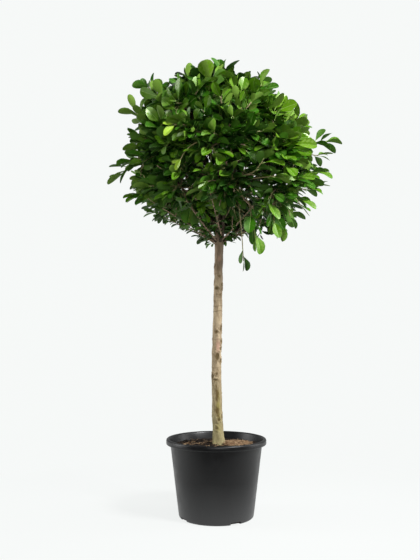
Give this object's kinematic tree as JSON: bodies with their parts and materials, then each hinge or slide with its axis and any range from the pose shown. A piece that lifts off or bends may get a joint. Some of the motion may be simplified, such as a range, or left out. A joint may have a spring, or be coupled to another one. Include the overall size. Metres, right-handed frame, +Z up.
{
  "type": "standard lollipop topiary in a nursery pot",
  "caption": "Clipped standard tree: a round head of glossy evergreen foliage on one bare trunk, growing in a round black plastic nursery pot.",
  "frame": {"origin": "middle of the pot's flat underside, on the pot's axis", "axes": "+Z up along the pot's axis, -Y towards the front of the plant, +X to its right-hand side"},
  "size_m": [0.9695, 0.8044, 1.8381],
  "materials": {
    "pot": "black moulded nursery plastic with a soft satin sheen, slightly scuffed",
    "potting_mix": "dark brown crumbly potting mix with bark chips and dry fibres",
    "bark": "light grey-brown smooth bark with leaf scars, knots and olive stains",
    "foliage": "glossy deep green leaves with a paler rib and underside, and a few lime young ones"
  },
  "bodies": {
    "root": {"pot": "pot", "potting_mix": "potting_mix", "trunk": "bark", "bough_crest_1": "bark", "bough_upper_1": "bark", "bough_upper_2": "bark", "bough_upper_3": "bark", "bough_upper_4": "bark", "bough_middle_1": "bark", "bough_middle_2": "bark", "bough_middle_3": "bark", "bough_middle_4": "bark", "bough_middle_5": "bark", "bough_middle_6": "bark", "bough_lower_1": "bark", "bough_lower_2": "bark", "bough_lower_3": "bark", "bough_lower_4": "bark", "bough_lower_5": "bark", "bough_lower_6": "bark", "foliage_crest_1": "foliage", "foliage_upper_1": "foliage", "foliage_upper_2": "foliage", "foliage_upper_3": "foliage", "foliage_upper_4": "foliage", "foliage_middle_1": "foliage", "foliage_middle_2": "foliage", "foliage_middle_3": "foliage", "foliage_middle_4": "foliage", "foliage_middle_5": "foliage", "foliage_middle_6": "foliage", "foliage_lower_1": "foliage", "foliage_lower_2": "foliage", "foliage_lower_3": "foliage", "foliage_lower_4": "foliage", "foliage_lower_5": "foliage", "foliage_lower_6": "foliage"}
  },
  "joints": []
}
